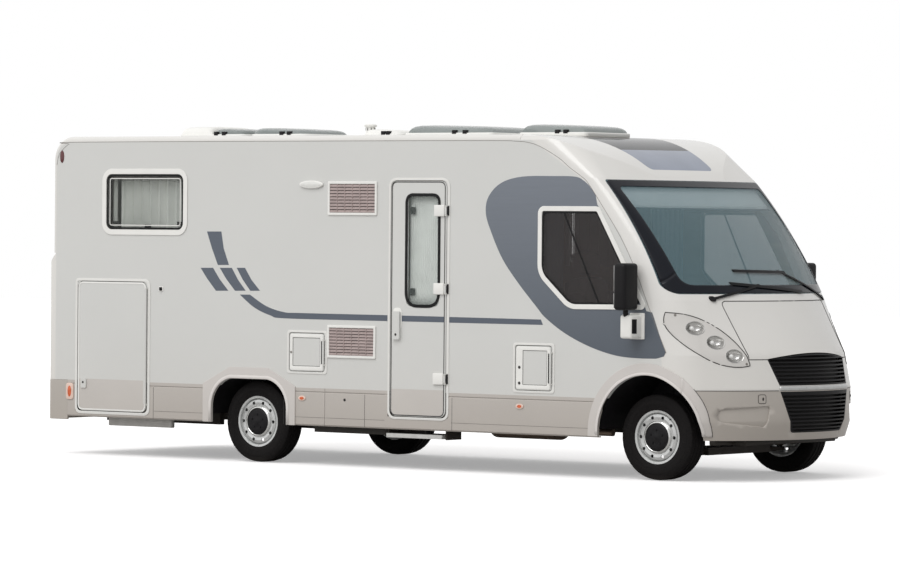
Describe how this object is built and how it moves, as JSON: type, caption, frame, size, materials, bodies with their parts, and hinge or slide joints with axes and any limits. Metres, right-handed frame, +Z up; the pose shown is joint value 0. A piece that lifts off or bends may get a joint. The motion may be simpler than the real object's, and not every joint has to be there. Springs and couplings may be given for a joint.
{
  "type": "motorhome",
  "caption": "Integrated motorhome with a sloping nose and wide windscreen; its wheels roll and steer, and its doors, flaps, bonnet and step open.",
  "frame": {"origin": "on the ground below the middle of the overall length, on the plane of symmetry", "axes": "+X ahead, +Y to the vehicle's left, +Z up"},
  "size_m": [7.265, 2.8, 2.8719],
  "materials": {
    "side_panel": "smooth off-white sandwich panel",
    "roof_panel": "smooth off-white sandwich panel",
    "moulding": "off-white gelcoat",
    "skirt": "beige-grey satin",
    "trim_white": "white plastic trim",
    "trim_black": "black textured plastic",
    "clear_glass": "tinted glass",
    "lamp_glass": "clear lamp cover",
    "lamp_red": "coloured lamp lens",
    "boards": "panelled boards",
    "hinge_metal": "anodised",
    "chassis_steel": "black chassis paint",
    "casting": "bare casting",
    "tank_plastic": "dark tank plastic",
    "exhaust_steel": "weathered steel",
    "rim_silver": "silver wheel paint",
    "tyre": "tread rubber",
    "step_metal": "ribbed aluminium",
    "seat_cloth": "seat cloth"
  },
  "bodies": {
    "body": {"side_wall_right": "side_panel", "side_wall_left": "side_panel", "roof": "roof_panel", "rear_wall": "side_panel", "corner_rails": "moulding", "front_cap": "moulding", "windscreen": "clear_glass", "roof_window": "clear_glass", "grilles": "trim_black", "headlights": "lamp_glass", "front_bumper": "skirt", "skirts": "skirt", "arch_flares": "skirt", "arch_liners": "trim_black", "floor": "boards", "partitions": "boards", "side_windows": "clear_glass", "window_frames": "trim_white", "wall_vents": "trim_white", "wall_hinges": "hinge_metal", "roof_fittings": "trim_white", "rear_bumper": "skirt", "lamp_columns": "moulding", "lamps": "lamp_red", "chassis_frame": "chassis_steel", "engine_block": "casting", "underfloor_tanks": "tank_plastic", "exhaust": "exhaust_steel", "rear_axle": "chassis_steel", "front_axle": "chassis_steel", "mirrors": "trim_black", "wipers": "trim_black", "cab_seats": "seat_cloth", "dashboard": "trim_black"},
    "entry_door": {"entry_door": "side_panel", "entry_door_pane": "clear_glass"},
    "garage_door_right": {"garage_door_right": "side_panel"},
    "garage_door_left": {"garage_door_left": "side_panel"},
    "service_flap": {"service_flap": "side_panel"},
    "locker_flap": {"locker_flap": "side_panel"},
    "bonnet": {"bonnet": "moulding"},
    "knuckle_right": {"knuckle_right": "casting"},
    "knuckle_left": {"knuckle_left": "casting"},
    "wheel_front_right": {"rim_front_right": "rim_silver", "tyre_front_right": "tyre"},
    "wheel_front_left": {"rim_front_left": "rim_silver", "tyre_front_left": "tyre"},
    "wheel_rear_right": {"rim_rear_right": "rim_silver", "tyre_rear_right": "tyre"},
    "wheel_rear_left": {"rim_rear_left": "rim_silver", "tyre_rear_left": "tyre"},
    "entry_step": {"entry_step": "step_metal"},
    "steering_wheel": {"steering_wheel": "trim_black"}
  },
  "joints": [
    {"name": "steer_right", "type": "hinge", "parent": "body", "child": "knuckle_right", "pos_m": [2.7, -0.8, 0.235], "axis": [0, 0.2441, 0.9697], "range_deg": [-33, 33]},
    {"name": "steer_left", "type": "hinge", "parent": "body", "child": "knuckle_left", "pos_m": [2.7, 0.8, 0.235], "axis": [0, -0.2441, 0.9697], "range_deg": [-33, 33]},
    {"name": "roll_front_right", "type": "hinge", "parent": "knuckle_right", "child": "wheel_front_right", "pos_m": [2.7, -0.895, 0.343], "axis": [0, 1, 0], "continuous": true},
    {"name": "roll_front_left", "type": "hinge", "parent": "knuckle_left", "child": "wheel_front_left", "pos_m": [2.7, 0.895, 0.343], "axis": [0, 1, 0], "continuous": true},
    {"name": "roll_rear_right", "type": "hinge", "parent": "body", "child": "wheel_rear_right", "pos_m": [-1.36, -0.94, 0.343], "axis": [0, 1, 0], "continuous": true},
    {"name": "roll_rear_left", "type": "hinge", "parent": "body", "child": "wheel_rear_left", "pos_m": [-1.36, 0.94, 0.343], "axis": [0, 1, 0], "continuous": true},
    {"name": "steering_wheel_turn", "type": "hinge", "parent": "body", "child": "steering_wheel", "pos_m": [2.28, 0.47, 1.3], "axis": [0.8211, 0, -0.5708], "range_deg": [-470, 470]},
    {"name": "entry_door_hinge", "type": "hinge", "parent": "body", "child": "entry_door", "pos_m": [0.715, -1.164, 1.4], "axis": [0, 0, 1], "range_deg": [0, 160]},
    {"name": "garage_door_right_hinge", "type": "hinge", "parent": "body", "child": "garage_door_right", "pos_m": [-2.5, -1.164, 0.95], "axis": [0, 0, 1], "range_deg": [0, 170]},
    {"name": "garage_door_left_hinge", "type": "hinge", "parent": "body", "child": "garage_door_left", "pos_m": [-2.5, 1.164, 0.95], "axis": [0, 0, -1], "range_deg": [0, 170]},
    {"name": "service_flap_hinge", "type": "hinge", "parent": "body", "child": "service_flap", "pos_m": [1.78, -1.164, 0.868], "axis": [0, 0, 1], "range_deg": [0, 150]},
    {"name": "locker_flap_hinge", "type": "hinge", "parent": "body", "child": "locker_flap", "pos_m": [-0.553, -1.164, 0.9425], "axis": [0, 0, 1], "range_deg": [0, 150]},
    {"name": "bonnet_hinge", "type": "hinge", "parent": "body", "child": "bonnet", "pos_m": [3.268, 0, 1.4275], "axis": [0, -1, 0], "range_deg": [0, 55]},
    {"name": "entry_step_slide", "type": "slide", "parent": "body", "child": "entry_step", "axis": [0, -1, 0], "range_m": [0, 0.24]}
  ],
  "couplings": [
    {"joint": "steer_left", "follows": "steer_right", "ratio": 1},
    {"joint": "steering_wheel_turn", "follows": "steer_right", "ratio": -14}
  ]
}
